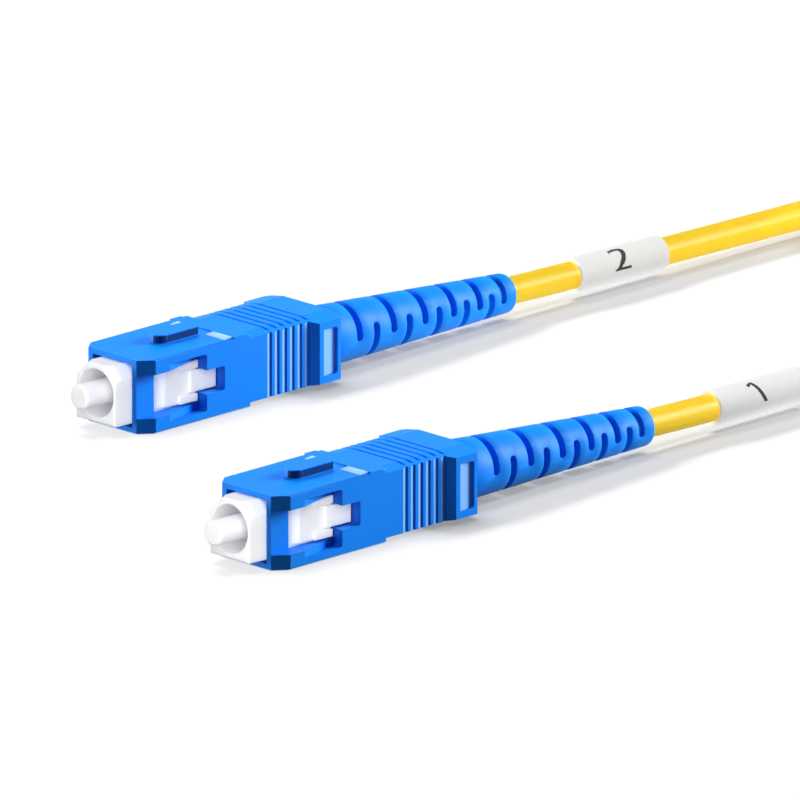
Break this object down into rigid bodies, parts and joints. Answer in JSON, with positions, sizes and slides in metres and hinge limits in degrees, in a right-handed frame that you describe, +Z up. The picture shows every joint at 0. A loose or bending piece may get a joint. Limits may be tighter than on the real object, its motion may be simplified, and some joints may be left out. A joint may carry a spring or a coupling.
{
  "type": "single-fibre optical patch cord",
  "caption": "Fibre patch cord with a blue push-pull connector and slotted boot on each end, numbered sleeves and a yellow cord coiled and tied behind them.",
  "frame": {"origin": "on the supporting surface, under the middle of the two connectors", "axes": "+X from the optical faces towards the cord, +Y from end 1 to end 2, +Z up"},
  "size_m": [0.1572, 0.0522, 0.0082],
  "materials": {
    "grip_blue": "satin moulded",
    "boot_blue": "soft matte",
    "frame_white": "satin moulded",
    "ferrule_zirconia": "ground and polished",
    "holder_metal": "nickel plated",
    "spring_steel": "drawn wire",
    "crimp_metal": "plain",
    "aramid_yarn": "loose strands",
    "fibre_coat": "smooth",
    "sleeve_white": "smooth, printed",
    "cord_yellow": "smooth extruded",
    "tie_black": "hook and loop"
  },
  "bodies": {
    "core": {"plug_frame_1": "frame_white", "ferrule_spring_1": "spring_steel", "stop_ring_1": "holder_metal", "aramid_yarn_1": "aramid_yarn", "crimp_ring_1": "crimp_metal", "buffered_fibre_1": "fibre_coat", "boot_1": "boot_blue", "marker_sleeve_1": "sleeve_white", "plug_frame_2": "frame_white", "ferrule_spring_2": "spring_steel", "stop_ring_2": "holder_metal", "aramid_yarn_2": "aramid_yarn", "crimp_ring_2": "crimp_metal", "buffered_fibre_2": "fibre_coat", "boot_2": "boot_blue", "marker_sleeve_2": "sleeve_white", "cord_run_1": "cord_yellow", "cord_run_2": "cord_yellow", "cord_coil": "cord_yellow", "coil_tie_a": "tie_black", "coil_tie_b": "tie_black"},
    "grip_1": {"grip_housing_1": "grip_blue"},
    "ferrule_1": {"ferrule_1": "ferrule_zirconia", "ferrule_flange_1": "holder_metal"},
    "grip_2": {"grip_housing_2": "grip_blue"},
    "ferrule_2": {"ferrule_2": "ferrule_zirconia", "ferrule_flange_2": "holder_metal"}
  },
  "joints": [
    {"name": "grip_slide_1", "type": "slide", "parent": "core", "child": "grip_1", "axis": [1, 0, 0], "range_m": [0, 0.001]},
    {"name": "ferrule_slide_1", "type": "slide", "parent": "core", "child": "ferrule_1", "axis": [1, 0, 0], "range_m": [0, 0.001], "stiffness_N_per_m": 1000, "deforming": ["ferrule_spring_1"]},
    {"name": "grip_slide_2", "type": "slide", "parent": "core", "child": "grip_2", "axis": [1, 0, 0], "range_m": [0, 0.001]},
    {"name": "ferrule_slide_2", "type": "slide", "parent": "core", "child": "ferrule_2", "axis": [1, 0, 0], "range_m": [0, 0.001], "stiffness_N_per_m": 1000, "deforming": ["ferrule_spring_2"]}
  ]
}
